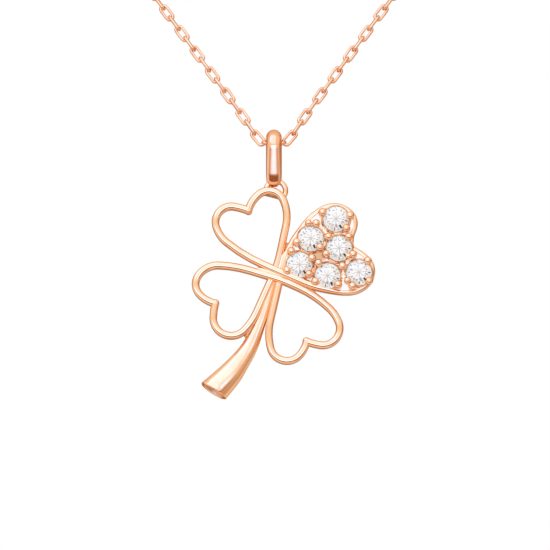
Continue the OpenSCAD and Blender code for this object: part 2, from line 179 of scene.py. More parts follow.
def makeGold(name):
    look = goldLooks[name]
    material, graph, shader = newMaterial(name)
    place = graph.place()
    cloud = graph.node("ShaderNodeTexNoise", "Fac", {},
                       {"Vector": place, "Scale": look["grain"], "Detail": goldGrain["cloudDetail"]})
    fine = graph.node("ShaderNodeTexNoise", "Fac", {},
                      {"Vector": place, "Scale": look["grain"] * goldGrain["fine"],
                       "Detail": goldGrain["fineDetail"]})
    colour = graph.blend(cloud.ramp(*goldGrain["patches"]), look["light"], look["deep"])
    # Painted shade: each patch darkens the colour towards its spot
    for spot, reachOut, shade in look.get("paintedShades", []):
        x, y, z = graph.split(place)
        across, up = x / mm - spot[0], z / mm - spot[1]
        far = (across * across + up * up).root()
        colour = graph.blend(far.ramp(reachOut, reachOut * goldGrain["shadeCore"]), colour, shade)
    bump = graph.node("ShaderNodeBump", "Normal", {},
                      {"Strength": look["scratch"], "Distance": goldGrain["depth"], "Height": fine})
    feed(shader.inputs["Base Color"], colour)
    feed(shader.inputs["Roughness"], look["rough"] + cloud * fine * look["vary"])
    feed(shader.inputs["Metallic"], look.get("metal", 1.0))
    feed(shader.inputs["Specular Tint"], goldGrain["tint"])
    feed(shader.inputs["Normal"], bump)
    return material


# The stones are opaque near-white with painted reflections of their facets: grey spokes, grey glints and dark
# marks
gemLook = {"radius": 1.125 * mm, "girdle": 0.65, "turns": (0, -7, 9, 4, -4, 11),
           "white": (0.96, 0.945, 0.87), "grey": (0.42, 0.42, 0.41), "dark": (0.012, 0.018, 0.02),
           "toGrey": (0.0, 0.62), "toDark": (0.55, 1.0), "rough": 0.03, "index": 1.75, "coat": 0.4,
           "coatRough": 0.02}
# Grey spokes are painted reflections of the facets; the slope makes them darker towards the bottom, as
# painted shade
spokeLook = {"count": 8, "shift": 0.05, "edge": (0.008, 0.045), "fade": (0.3, 0.62), "tone": 0.42,
             "slope": 0.3, "gain": 1.1}
# Painted glints: grey specks in a ring round the stone, which also make it rougher there
paintedGlintLook = {"ring": 0.66, "scale": 3400.0, "edge": (0.14, 0.34), "fade": (0.12, 0.32), "tone": 0.5,
            "rough": 0.05}
# Painted reflections of the facets, as dark marks: angle in degrees, inner and outer place, half width,
# strength
paintedFacetReflections = [(-60, 0.52, 0.85, 0.085, 1.0), (-99, 0.66, 0.92, 0.045, 0.85), (-88, 0.38, 0.68, 0.09, 0.62),
            (-77, 0.66, 0.9, 0.04, 0.4), (-11, 0.68, 0.92, 0.05, 0.9), (-6, 0.45, 0.6, 0.05, 0.55),
            (-24, 0.42, 0.74, 0.05, 0.6), (-40, 0.48, 0.62, 0.05, 0.45), (-142, 0.54, 0.7, 0.05, 0.65),
            (-134, 0.76, 0.9, 0.04, 0.5), (-122, 0.5, 0.8, 0.03, 0.45), (-114, 0.52, 0.8, 0.03, 0.4),
            (-160, 0.52, 0.76, 0.055, 0.5), (168, 0.7, 0.86, 0.045, 0.7), (150, 0.5, 0.76, 0.075, 0.6),
            (127, 0.74, 0.94, 0.075, 0.6), (107, 0.6, 0.76, 0.13, 0.38), (93, 0.82, 0.98, 0.03, 0.62),
            (86, 0.62, 0.82, 0.04, 0.42), (59, 0.66, 0.86, 0.05, 0.6), (40, 0.74, 0.88, 0.04, 0.75),
            (33, 0.5, 0.72, 0.045, 0.6), (12, 0.5, 0.7, 0.05, 0.38), (178, 0.35, 0.6, 0.05, 0.3)]
markFade = {"length": (0.3, 0.55), "side": (0.6, 1.1)}  # shares of a mark's length and of its half width


def makeGem(index, centre, turn):
    material, graph, shader = newMaterial("clearStone%d" % index)
    x, y, z = graph.split(graph.place())
    u = (x - centre[0]) / gemLook["radius"]
    v = (z - centre[2]) / gemLook["radius"]
    r = (u * u + v * v).root()
    spin = math.radians(turn)
    along = u * math.cos(spin) + v * math.sin(spin)
    across = v * math.cos(spin) - u * math.sin(spin)
    angle = across.heading(along) / (2 * math.pi)
    count = spokeLook["count"]
    spoke = abs((angle * count + spokeLook["shift"]).wrapped()) / count * (2 * math.pi) * r
    # Grey spokes: painted reflections of the facets, darker towards the bottom as painted shade
    spokes = (1 - spoke.ramp(*spokeLook["edge"])) * (1 - r.ramp(*spokeLook["fade"])) \
        * (spokeLook["tone"] - v * spokeLook["slope"])
    # Grey glints: painted reflections in a ring
    cells = graph.node("ShaderNodeTexVoronoi", "Distance", {"distance": "CHEBYCHEV"},
                       {"Vector": graph.place(), "Scale": paintedGlintLook["scale"]})
    paintedGlints = (1 - cells.ramp(*paintedGlintLook["edge"])) * (1 - abs(r - paintedGlintLook["ring"]).ramp(*paintedGlintLook["fade"])) \
        * paintedGlintLook["tone"]
    shade = (spokes * spokeLook["gain"]).larger(paintedGlints)
    # Dark marks: painted reflections of single facets
    for place, inner, outer, half, strength in paintedFacetReflections:
        a = math.radians(place)
        far = along * math.cos(a) + across * math.sin(a)
        side = abs(across * math.cos(a) - along * math.sin(a))
        ends = [(outer - inner) * share for share in markFade["length"]]
        edges = [half * share for share in markFade["side"]]
        body = (1 - abs(far - (inner + outer) / 2).ramp(*ends)) * (1 - side.ramp(*edges))
        shade = shade.larger(body * strength)
    # Painted reflections: white where there are none, then grey, then dark where the spokes, glints and marks
    # are
    tone = graph.blend(shade.ramp(*gemLook["toGrey"]), gemLook["white"], gemLook["grey"])
    feed(shader.inputs["Base Color"], graph.blend(shade.ramp(*gemLook["toDark"]), tone, gemLook["dark"]))
    feed(shader.inputs["Roughness"], gemLook["rough"] + paintedGlints * paintedGlintLook["rough"])
    feed(shader.inputs["IOR"], gemLook["index"])
    feed(shader.inputs["Coat Weight"], gemLook["coat"])
    feed(shader.inputs["Coat Roughness"], gemLook["coatRough"])
    return material


gold = {name: makeGold(name) for name in goldLooks}
print("materials made")


# Mesh helpers. Pieces are shaped in millimetres and put in place as they are finished: the clover's in
# the clover's own plane (right, up, front), the bail's from its hinge, the chain's from the nape.

cloverSpot = Vector((0.5107, -112.15, -94.9265))
hang = Vector((0, -112, -84))
toMetres = Matrix.Scale(mm, 4)
cloverPlace = toMetres @ Matrix.Translation(cloverSpot) @ Matrix.Rotation(math.radians(90), 4, "X")
bailPlace = toMetres @ Matrix.Translation(hang)
weld = 0.0002  # points closer than this are one point, in millimetres


def finishObject(name, bm, material, body, place, crease=38):
    bmesh.ops.recalc_face_normals(bm, faces=bm.faces)
    for face in bm.faces:
        face.smooth = True
    for edge in bm.edges:
        edge.smooth = not (len(edge.link_faces) == 2 and edge.calc_face_angle(0) > math.radians(crease))
    bm.transform(place)
    mesh = bpy.data.meshes.new(name)
    bm.to_mesh(mesh)
    bm.free()
    mesh.materials.append(material)
    made = bpy.data.objects.new(name, mesh)
    bpy.context.scene.collection.objects.link(made)
    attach(made, body)
    return made


def addLoop(bm, points):
    spots = [bm.verts.new(p) for p in points]
    return [bm.edges.new(pair) for pair in zip(spots, spots[1:] + spots[:1])]


def bridgeRings(bm, rings, closedPath=False, capped=True):
    loops = [addLoop(bm, ring) for ring in rings]
    following = loops[1:] + loops[:1] if closedPath else loops[1:]
    for first, second in zip(loops, following):
        bmesh.ops.bridge_loops(bm, edges=first + second)
    if capped and not closedPath:
        bmesh.ops.edgeloop_fill(bm, edges=loops[0] + loops[-1])
    return loops


def spinProfile(bm, centre, profile, steps, closed=False):
    spots = [bm.verts.new((centre.x + r, centre.y, z)) for r, z in profile]
    following = spots[1:] + spots[:1] if closed else spots[1:]
    runs = [bm.edges.new(pair) for pair in zip(spots, following)]
    bmesh.ops.spin(bm, geom=spots + runs, cent=(centre.x, centre.y, 0), axis=(0, 0, 1),
                   angle=2 * math.pi, steps=steps, use_merge=True)


def ahead(degrees):
    return Vector((math.cos(math.radians(degrees)), math.sin(math.radians(degrees))))


def leftOf(degrees):
    return ahead(degrees + 90)


def tubeAlong(bm, points, radius, around):
    out = Vector((0, 0, 1))
    rings = []
    for i, p in enumerate(points):
        flow = (points[min(i + 1, len(points) - 1)] - points[max(i - 1, 0)]).normalized()
        across = flow.cross(out).normalized()
        rings.append([p + radius * (math.cos(a) * across + math.sin(a) * out)
                      for a in (2 * math.pi * k / around for k in range(around))])
    bridgeRings(bm, rings)


def curveThrough(points, steps):
    made = []
    last = len(points) - 1
    for i in range(last):
        a, b, c, d = points[max(i - 1, 0)], points[i], points[i + 1], points[min(i + 2, last)]
        for k in range(steps):
            t = k / steps
            made.append([0.5 * (2 * q + (r - p) * t + (2 * p - 5 * q + 4 * r - s) * t * t
                                + (3 * q - p - 3 * r + s) * t ** 3) for p, q, r, s in zip(a, b, c, d)])
    return made + [list(points[-1])]


def pathLengths(path):
    lengths = [0.0]
    for p, q in zip(path, path[1:]):
        lengths.append(lengths[-1] + (q - p).length)
    return lengths


# Plan of the clover, as the solid has it, in units of pitch

notches = [(-1.05, 2.0), (-2.15, -1.11), (0.89, -2.38), (2.35, 0.7)]
# A side of a leaf: its notch, its first heading, a straight run, and arcs as radius and sweep
sides = [
    (1, 75, 0, [(1.05, -36), (0.53, -106), (1.4, -35)]),
    (1, 158, 0, [(2.2, 13), (0.53, 117), (1.1, 33), (5.5, 15)]),
    (2, 167, 0, [(1.0, -36), (0.5, -76), (0.8, -57), (4.0, -15)]),
    (2, 257, 0, [(2.6, 10), (0.6, 139), (2.1, 20)]),
    (3, 258, 0, [(1.0, -30), (0.56, -124), (2.0, -27)]),
    (3, 339, 0, [(2.2, 12), (0.57, 121), (1.3, 25), (3.8, 19)]),
    (4, 94, 0.18, [(0.96, -29), (0.48, 68), (0.73, 74), (1.82, 26)]),
    (4, 334, 0.14, [(1.6, -17), (0.57, -89), (0.86, -46), (2.5, -12)]),
]
topLobe, upperRim, lowerRim = 0, 6, 7
# A wire: the two sides that it joins and the radius of its bend between them
crossings = {"wireTopToLeft": (0, 3, 4.0), "wireLeftToRight": (2, 5, 3.5), "wireLowToStones": (4, 6, 3.0),
             "wireStonesToTop": (7, 1, 3.0)}
stones = [(1.87, 1.68), (1.03, 1.03), (1.97, 0.7), (0.65, 0.15), (1.59, -0.22), (2.63, -0.11)]
# A prong: its stone, its angle and distance from the stone's middle, and its size
prongs = [
    (1, 150, 0.52, 1), (1, 18, 0.49, 1), (1, -39, 0.44, 1),
    (2, 98, 0.56, 0.85), (2, 71.5, 0.57, 1), (2, 190.5, 0.48, 1), (2, -41, 0.4, 1),
    (3, 130, 0.55, 1), (3, 52.7, 0.53, 1), (3, 199.5, 0.46, 1), (3, -20, 0.49, 1), (3, -37, 0.38, 0.8),
    (4, 119, 0.56, 1), (4, 31.4, 0.49, 1), (4, 200.5, 0.44, 1), (4, -41.5, 0.42, 1),
    (5, 123.7, 0.55, 1), (5, 36, 0.61, 1), (5, 200, 0.44, 1), (5, -36.4, 0.43, 1),
    (6, 56, 0.52, 1), (6, 242.4, 0.47, 1), (6, -37.5, 0.42, 1), (6, 211, 0.45, 0.8),
]


def stepRow(point, heading, row):
    radius, amount = row
    if radius == 0:
        return point + amount * ahead(heading), heading
    turn = math.copysign(1, amount)
    return point + turn * radius * (leftOf(heading) - leftOf(heading + amount)), heading + amount


def sideRows(side):
    first = [(0, pitch * side[2])] if side[2] else []
    return first + [(pitch * radius, sweep) for radius, sweep in side[3]]


def sideStart(side):
    return Vector(notches[side[0] - 1]) * pitch, side[1]


def walk(point, heading, rows):
    spots = [(point, heading)]
    for row in rows:
        spots.append(stepRow(*spots[-1], row))
    return spots


def sideEnd(side):
    return walk(*sideStart(side), sideRows(side))[-1]


def cross2(a, b):
    return a.x * b.y - a.y * b.x


def reach(a, b):
    return cross2(b[0] - a[0], ahead(b[1])) / cross2(ahead(a[1]), ahead(b[1]))


def traced(start, rows, grain=5.0, stride=0.4):
    spots = [start]
    at = start
    for row in rows:
        size = abs(row[1])
        pieces = max(1, math.ceil(size / (stride if row[0] == 0 else grain)))
        for k in range(1, pieces + 1):
            spots.append(stepRow(*at, (row[0], row[1] * k / pieces)))
        at = spots[-1]
    return spots


def wireRoute(first, second, bendRadius):
    a, b = sides[first], sides[second]
    endA, endB = sideEnd(a), sideEnd(b)
    turn = (endB[1] + 180 - endA[1] + 540) % 360 - 180
    cut = pitch * bendRadius * math.tan(math.radians(abs(turn)) / 2)
    go = traced(sideStart(a), sideRows(a) + [(0, reach(endA, endB) - cut), (pitch * bendRadius, turn)])
    back = traced(sideStart(b), sideRows(b) + [(0, reach(endB, endA) - cut)])
    middle = len(go) - 1
    return go + [(p, h + 180) for p, h in reversed(back[:-1])], middle


# Wires: half-round along the open leaves, a thin raised rim along the stone leaf

wireLook = {"width": 0.65, "depth": 1.0, "chamfer": 0.08, "round": 18, "flat": 0.9, "side": 0.4,
            "cornerWide": 1.03, "cornerShift": 0.012, "cornerSteps": 40,
            "lifts": {"wireStonesToTop": 0.30, "wireLeftToRight": 0.17}, "liftReach": 4.6}
# Inside the rim: the plate's step below the front, places across the step, and the rim's raised edge
rimLook = {"round": 0.24, "step": 0.06, "under": 0.05, "flat": (-0.2, -0.12, -0.07), "edge": (-0.035, 0.02),
           "inside": 0.02, "blend": 1.2}


def wireProfile(rim):
    half, deep, ch = wireLook["width"] / 2, wireLook["depth"] / 2, wireLook["chamfer"]
    shoulder = deep - half
    low = shoulder * wireLook["side"]
    steps, flat = wireLook["round"], wireLook["flat"]
    left = [(-half + ch, -deep), (-half, -deep + ch)]
    right = [(half, low), (half, -deep + ch), (half - ch, -deep)]
    if not rim:
        top = []
        for k in range(steps + 1):
            c, s = math.cos(math.pi * k / steps), math.sin(math.pi * k / steps)
            top.append((-half * math.copysign(abs(c) ** flat, c), shoulder + half * s ** flat))
        return left + [(-half, low)] + top + right
    radius, under = rimLook["round"], deep - rimLook["step"] - rimLook["under"]
    edge, drop = rimLook["edge"]
    inner = [(x, under) for x in (-half, *rimLook["flat"])] + [(edge, deep - drop), (0.0, deep)]
    rest = steps + 1 - len(inner)
    turns = [math.pi / 2 * (k + 1) / rest for k in range(rest)]
    curve = [(half - radius + radius * math.sin(a), deep - radius + radius * math.cos(a)) for a in turns]
    return left + [(-half, 0)] + inner + curve + right


plainProfile = wireProfile(False)
rimProfile = wireProfile(True)


def buildWire(name):
    first, second, bendRadius = crossings[name]
    route, middle = wireRoute(first, second, bendRadius)
    lengths = pathLengths([p for p, heading in route])
    rim = next((k for k in (upperRim, lowerRim) if k in (first, second)), None)
    if rim is not None:
        rimEnd = sideEnd(sides[rim])[0]
        edge = min(range(len(route)), key=lambda i: (route[i][0] - rimEnd).length)
    rings = []
    for (p, heading), s in zip(route, lengths):
        amount = 0.0
        if rim is not None:
            past = lengths[edge] - s if rim == lowerRim else s - lengths[edge]
            amount = max(0.0, min(1.0, past / rimLook["blend"] + 0.5))
        away = abs(s - lengths[middle]) / wireLook["liftReach"]
        lift = wireLook["lifts"].get(name, 0.0) * max(0.0, 1 - away ** 2) ** 2
        ring = []
        for (x, z), (rx, rz) in zip(plainProfile, rimProfile):
            px, pz = x * (1 - amount) + rx * amount, z * (1 - amount) + rz * amount
            spot = p + px * leftOf(heading)
            keep = 1 if rx >= rimLook["inside"] else 1 - amount
            ring.append((spot.x, spot.y, pz + (lift * keep if pz > 0 else 0)))
        rings.append(ring)
    bm = bmesh.new()
    bridgeRings(bm, rings)
    return finishObject(name, bm, gold["roseGoldPolish"], "pendant", cloverPlace)


def buildCorners():
    half = [(wireLook["cornerWide"] * x, z) for x, z in plainProfile if x >= -weld]
    half.append((0, -wireLook["depth"] / 2))
    bm = bmesh.new()
    for notch in notches[:3]:
        spinProfile(bm, Vector(notch) * (pitch - wireLook["cornerShift"]), half, wireLook["cornerSteps"])
    bmesh.ops.remove_doubles(bm, verts=bm.verts, dist=weld)
    return finishObject("wireCorners", bm, gold["roseGoldPolish"], "pendant", cloverPlace)


# Solder: between the two long wires, between the left wire and the stem, and beside the stone leaf. The last
# two are darker than the wires, as painted shade in their creases

solders = {
    "crossingSolder": {"look": "roseGoldPolish", "width": 0.62, "level": 0.44, "rise": 0.10, "deep": 0.22,
                       "route": [(-1.98, 0.12), (-1.1, -0.18), (0.1, -0.62), (1.25, -1.13), (2.35, -1.68),
                                 (3.1, -2.06)]},
    "stemSolder": {"look": "roseGoldFilletShade", "width": 0.52, "level": 0.02, "rise": 0.10, "deep": 0.3,
                   "route": [(-1.75, -3.5), (-2.15, -4.45), (-2.6, -5.22), (-3.0, -5.84)]},
    "leafSolder": {"look": "roseGoldFilletShade", "width": 0.36, "level": 0.16, "rise": 0.08, "deep": 0.3,
                   "route": [(0.42, 1.35), (0.5, 1.7), (0.58, 2.05), (0.66, 2.4)]},
}
solderShape = {"steps": 8, "around": 12, "tip": 0.25}


def buildSolder(name):
    look, around, tip = solders[name], solderShape["around"], solderShape["tip"]
    spots = [Vector(p) for p in curveThrough(look["route"], solderShape["steps"])]
    last = len(spots) - 1
    rings = []
    for i, p in enumerate(spots):
        flow = (spots[min(i + 1, last)] - spots[max(i - 1, 0)]).normalized()
        across = Vector((-flow.y, flow.x))
        swell = math.sin(math.pi * i / last) ** 0.5 if 0 < i < last else 0.0
        half = look["width"] / 2 * (tip + (1 - tip) * swell)
        top = look["level"] + look["rise"] * swell
        turns = [math.pi * k / around for k in range(around + 1)]
        rings.append([(*(p + across * half * math.cos(a)), top - look["deep"] * (1 - math.sin(a)))
                      for a in turns])
    bm = bmesh.new()
    bridgeRings(bm, rings)
    return finishObject(name, bm, gold[look["look"]], "pendant", cloverPlace)


# Stone leaf: the plate with its bores, a collar round each stone, and the beads

seatLook = {"field": 0.44, "collarOut": 1.35, "collarTop": 0.64, "throat": 0.911, "hole": 0.55,
            "holeTop": 0.13, "back": -0.5, "steps": 56, "crease": 25}


def buildPlate():
    look, steps = seatLook, seatLook["steps"]
    upper, lower = sides[upperRim], sides[lowerRim]
    upperTrace, lowerTrace = ([p for p, h in traced(sideStart(s), sideRows(s))] for s in (upper, lower))
    upperEnd, lowerEnd = sideEnd(upper), sideEnd(lower)
    corner = upperEnd[0] + reach(upperEnd, lowerEnd) * ahead(upperEnd[1])
    outline = upperTrace + [corner] + list(reversed(lowerTrace[1:]))
    rims = []
    bm = bmesh.new()
    for level, hole in ((look["field"], look["throat"]), (look["back"], look["hole"])):
        rounds = [[Vector(s) * pitch + hole * ahead(360 * k / steps) for k in range(steps)] for s in stones]
        loops = [addLoop(bm, [(p.x, p.y, level) for p in loop]) for loop in [outline] + rounds]
        bmesh.ops.triangle_fill(bm, use_beauty=True, use_dissolve=False, edges=sum(loops, []))
        rims += loops[0]
    bmesh.ops.bridge_loops(bm, edges=rims)
    bore = [(look["throat"], look["field"]), (look["hole"], look["holeTop"]), (look["hole"], look["back"])]
    for s in stones:
        spinProfile(bm, Vector(s) * pitch, bore, steps)
    bmesh.ops.remove_doubles(bm, verts=bm.verts, dist=weld)
    return finishObject("stonePlate", bm, gold["roseGoldSeatHighlightAndShade"], "pendant", cloverPlace, look["crease"])


def buildCollars():
    look, field, top = seatLook, seatLook["field"], seatLook["collarTop"]
    # Radius and level, from the foot outside, over the top and down to the foot inside
    wall = [(look["collarOut"], field - 0.01), (look["collarOut"] - 0.05, field + 0.015),
            (1.25, field + 0.07), (1.215, field + 0.13), (1.195, top - 0.02), (1.175, top), (1.155, top),
            (1.14, top - 0.02), (1.128, top - 0.06), (1.08, top - 0.14), (look["throat"], field - 0.02)]
    bm = bmesh.new()
    for s in stones:
        spinProfile(bm, Vector(s) * pitch, wall, look["steps"], closed=True)
    return finishObject("stoneCollars", bm, gold["roseGoldCollar"], "pendant", cloverPlace)


prongLook = {"post": 0.25, "foot": 0.28, "footLevel": 0.42, "bead": 0.35, "level": 0.83, "flat": 0.94,
             "neck": 0.1, "first": 0.06, "drop": 0.07, "steps": 24, "rows": 12}


def buildProngs():
    look, level, rows = prongLook, prongLook["level"], prongLook["rows"]
    bm = bmesh.new()
    for stone, angle, distance, size in prongs:
        centre = pitch * (Vector(stones[stone - 1]) + distance * ahead(angle)) - Vector((0, look["drop"]))
        post, bead = look["post"] * size, look["bead"] * size
        lowest = math.asin(post / bead)
        turns = [lowest * look["first"] + (math.pi - lowest) * k / rows for k in range(rows + 1)]
        dome = [(bead * math.sin(a), level + bead * math.cos(a) * look["flat"]) for a in turns]
        tip, foot = (0, level + bead * look["flat"]), look["footLevel"]
        base = [(post, level - bead - look["neck"]), (look["foot"] * size, foot), (0, foot)]
        spinProfile(bm, centre, [tip] + dome + base, look["steps"])
    bmesh.ops.remove_doubles(bm, verts=bm.verts, dist=weld)
    return finishObject("prongBeads", bm, gold["roseGoldBead"], "pendant", cloverPlace)


# Stem: a trumpet with a rolled lip and a cup. A row is its middle, its width and its heading.

stemRows = [(-0.2, -0.3, 0.17, 253), (-0.5, -1.33, 0.3, 251), (-0.87, -2.27, 0.49, 245),
            (-1.08, -2.68, 0.57, 241), (-1.35, -3.07, 0.68, 237), (-1.69, -3.5, 0.83, 235),
            (-2.17, -3.99, 0.97, 238)]
stemLook = {"round": 0.82, "back": 0.25, "rise": 0.34, "riseFrom": -2.9, "riseOver": 2.2, "slant": 0.16,
            "sides": 48, "steps": 6, "lip": 0.26, "cup": 0.55, "crease": 50}


def stemBack(row):
    share = max(0.0, min(1.0, (row[1] - stemLook["riseFrom"]) / stemLook["riseOver"]))
    return stemLook["back"] - stemLook["rise"] * share * share * (3 - 2 * share)


def stemRing(row, share, forward, near):
    half = pitch * row[2] / 2 * share
    ring = []
    for k in range(stemLook["sides"]):
        a = 2 * math.pi * k / stemLook["sides"]
        depth = half * stemLook["round"] * math.sin(a)
        along = forward - (stemLook["slant"] * depth if near else 0)
        spot = pitch * Vector((row[0], row[1])) + along * ahead(row[3]) + half * math.cos(a) * leftOf(row[3])
        ring.append((spot.x, spot.y, depth - stemBack(row)))
    return ring


def buildStem():
    rows = curveThrough(stemRows, stemLook["steps"])
    end, edge, cup = rows[-1], stemLook["lip"] / 3, stemLook["cup"]
    lip = 1 - stemLook["lip"] / (pitch * end[2] / 2)
    # Share of the end's width, and how far in front of the end
    lipRows = [(1.0, edge), (0.985, edge * 1.5), (0.95, edge * 1.85), ((1 + lip) / 2 + 0.03, edge * 1.95),
               (lip + 0.03, edge * 1.7), (lip, edge * 1.1)]
    cupRows = [(lip, edge * 1.1), (lip * 0.95, edge - cup * 0.35), (lip * 0.86, edge - cup * 0.75),
               (lip * 0.6, edge - cup)]
    trumpet = [stemRing(row, 1.0, 0.0, row is end) for row in rows]
    rolled, hollow = ([stemRing(end, *spot, True) for spot in spots] for spots in (lipRows, cupRows))
    made = []
    # The cup's gold is darker, as painted shade in the hollow
    for name, look, rings, capAt in (("stem", "roseGoldStem", trumpet + rolled, 0),
                                     ("stemCup", "roseGoldCupShade", hollow, -1)):
        bm = bmesh.new()
        loops = bridgeRings(bm, rings, capped=False)
        bmesh.ops.edgeloop_fill(bm, edges=loops[capAt])
        made.append(finishObject(name, bm, gold[look], "pendant", cloverPlace, stemLook["crease"]))
    return made


# Ring round the top leaf's right lobe, and the bar of solder under it, dark brown as painted shade under the
# wire

ringLook = {"outer": 1.08, "wire": 0.23, "back": 0.15, "lean": 67, "rise": 0.14, "start": -45, "end": 190,
            "steps": 56, "around": 20, "barWire": 0.2, "barFrom": 34, "barTo": 117}


def buildRing():
    look, start, sweep = ringLook, ringLook["start"], ringLook["end"] - ringLook["start"]
    lobePoint, lobeHeading = walk(*sideStart(sides[topLobe]), sideRows(sides[topLobe]))[1]
    lobeRadius = pitch * sides[topLobe][3][1][0]
    lobe = lobePoint - lobeRadius * leftOf(lobeHeading)
    centre = lobe + (lobeRadius + look["rise"]) * ahead(look["lean"])
    middle = look["outer"] - look["wire"]
    arc = [centre + middle * ahead(start + sweep * k / look["steps"]) for k in range(look["steps"] + 1)]
    first, last = (lobe + lobeRadius * ahead(look[key]) for key in ("barFrom", "barTo"))
    made = []
    for name, gilding, path, wire in (("ring", "roseGoldPolish", arc, look["wire"]),
                                      ("ringSolder", "roseGoldSolderShade", [first, (first + last) / 2, last],
                                       look["barWire"])):
        bm = bmesh.new()
        tubeAlong(bm, [Vector((p.x, p.y, -look["back"])) for p in path], wire, look["around"])
        made.append(finishObject(name, bm, gold[gilding], "pendant", cloverPlace))
    return made


cloverPieces = [buildWire(name) for name in crossings] + [buildCorners(), buildPlate(), buildCollars()]
cloverPieces += [buildSolder(name) for name in solders] + [buildProngs()] + buildRing() + buildStem()
for piece in cloverPieces:
    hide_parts("clover")
print("clover made")


# Bail: the solid's loop with more sections, and with a foot that is more hollow underneath

bailLook = {"width": 1.37, "inner": 0.7, "thick": 0.86, "drop": 3.135, "tail": 0.3, "top": -0.19,
            "arcEnd": 0.35, "tailStart": 0.75, "front": 24, "under": 6, "arcSteps": 22, "steps": 20}
# Place along half the loop, shares of the width and of the thickness, and how far the edges stand out
bailRows = [(0, 1, 1, 0.1), (0.35, 1, 0.76, 0.1), (0.68, 1, 0.55, 0.08), (0.75, 0.95, 0.456, 0.09),
            (0.81, 0.80, 0.39, 0.105), (0.88, 0.55, 0.295, 0.135), (1, 0.41, 0.257, 0.16)]


def lookUp(place, column):
    for a, b in zip(bailRows, bailRows[1:]):
        if place <= b[0]:
            t = (place - a[0]) / (b[0] - a[0])
            return a[column] + (b[column] - a[column]) * t
    return bailRows[-1][column]


def bailSection(place, way):
    b = bailLook
    lean = math.degrees(math.asin((b["inner"] - b["tail"]) / (b["drop"] + b["top"])))
    if place <= b["arcEnd"]:
        normal = (90 + lean) * place / b["arcEnd"]
    elif place < b["tailStart"]:
        normal = 90 + lean
    else:
        normal = 90 + lean + (90 - lean) * (place - b["tailStart"]) / (1 - b["tailStart"])
    share = max(0, min(1, (place - b["arcEnd"]) / (b["tailStart"] - b["arcEnd"])))
    hub = (b["top"] + share * (-b["drop"] - b["top"]), b["inner"] + share * (b["tail"] - b["inner"]))
    half, thick, crown = b["width"] / 2 * lookUp(place, 1), b["thick"] * lookUp(place, 2), lookUp(place, 3)
    a = math.radians(way * normal)
    points = []
    for k in range(b["front"] + 1):
        phi = -math.pi / 2 + math.pi * k / b["front"]
        points.append((math.sin(phi), crown + (thick - crown) * math.cos(phi)))
    for k in range(1, b["under"]):
        across = 1 - 2 * k / b["under"]
        points.append((across, crown * across * across))
    return [(half * x, (hub[1] + out) * math.sin(a), hub[0] + (hub[1] + out) * math.cos(a))
            for x, out in points]


def buildBail():
    b = bailLook
    places = [b["arcEnd"] * k / b["arcSteps"] for k in range(b["arcSteps"])]
    for start, end in ((b["arcEnd"], b["tailStart"]), (b["tailStart"], 1)):
        places += [start + (end - start) * k / b["steps"] for k in range(b["steps"])]
    places.append(1)
    rings = [bailSection(s, 1) for s in places] + [bailSection(s, -1) for s in reversed(places[1:-1])]
    bm = bmesh.new()
    bridgeRings(bm, rings, closedPath=True)
    made = finishObject("bailBand", bm, gold["roseGoldBail"], "bail", bailPlace)
    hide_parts("bail")
    return made


buildBail()
print("bail made")


# Chain: links along the route of the solid tube. The points are the right half of the route, from the
# bottom of its V up to the nape, in millimetres from the nape.

chainRoute = [
    (0, -112, -84), (0.55, -111.97, -83.91), (1.05, -111.88, -83.67), (1.43, -111.75, -83.28),
    (3, -111, -80.93), (13, -106.3, -66.65), (25, -100.6, -49.5), (36.6, -95, -32.9),
    (41.8, -91, -26), (46.2, -85.8, -21.4), (49.7, -79.7, -18.2), (52.5, -72.6, -15.9),
    (54.4, -64.8, -13.6), (55.6, -56.5, -11.3), (56, -48, -9), (55.3, -41, -7),
    (53.4, -34.3, -5.3), (50.3, -27.7, -3.9), (46, -21.5, -2.8), (41, -15.8, -1.9),
    (35, -10.7, -1.2), (28.2, -6.5, -0.7), (20.7, -3.2, -0.4), (12.7, -1, -0.1),
]
linkLook = {"long": 1.8, "wide": 0.89, "wire": 0.14, "pitch": 1.217, "first": 1.6, "endWide": 1.26,
            "loopMiddle": -55, "bends": 14, "around": 6, "crease": 80, "pathStep": 0.5}
# The link through the bail, which follows the route's bend
bentLook = {"bends": 22, "around": 8, "step": 0.3, "spare": 0.03}
claspLook = {"clasp": 5.5, "tube": 1.1, "loop": 1.7, "loopWire": 0.5, "ring": 3.1, "ringWire": 0.6,
             "gap": 0.15, "play": 0.08, "ringPlay": 0.02}


def smoothPath(points):
    made = []
    for i in range(len(points) - 1):
        b, c = points[i], points[i + 1]
        a = points[i - 1] if i else b * 2 - c
        d = points[i + 2] if i + 2 < len(points) else c * 2 - b
        t1 = (b - a).length ** 0.5
        t2 = t1 + (c - b).length ** 0.5
        t3 = t2 + (d - c).length ** 0.5
        pieces = max(4, math.ceil((c - b).length / linkLook["pathStep"]))
        for k in range(pieces):
            t = t1 + (t2 - t1) * k / pieces
            ab = a * ((t1 - t) / t1) + b * (t / t1)
            bc = b * ((t2 - t) / (t2 - t1)) + c * ((t - t1) / (t2 - t1))
            cd = c * ((t3 - t) / (t3 - t2)) + d * ((t - t2) / (t3 - t2))
            abc = ab * ((t2 - t) / t2) + bc * (t / t2)
            bcd = bc * ((t3 - t) / (t3 - t1)) + cd * ((t - t1) / (t3 - t1))
            made.append(abc * ((t2 - t) / (t2 - t1)) + bcd * ((t - t1) / (t2 - t1)))
    return made + [points[-1]]


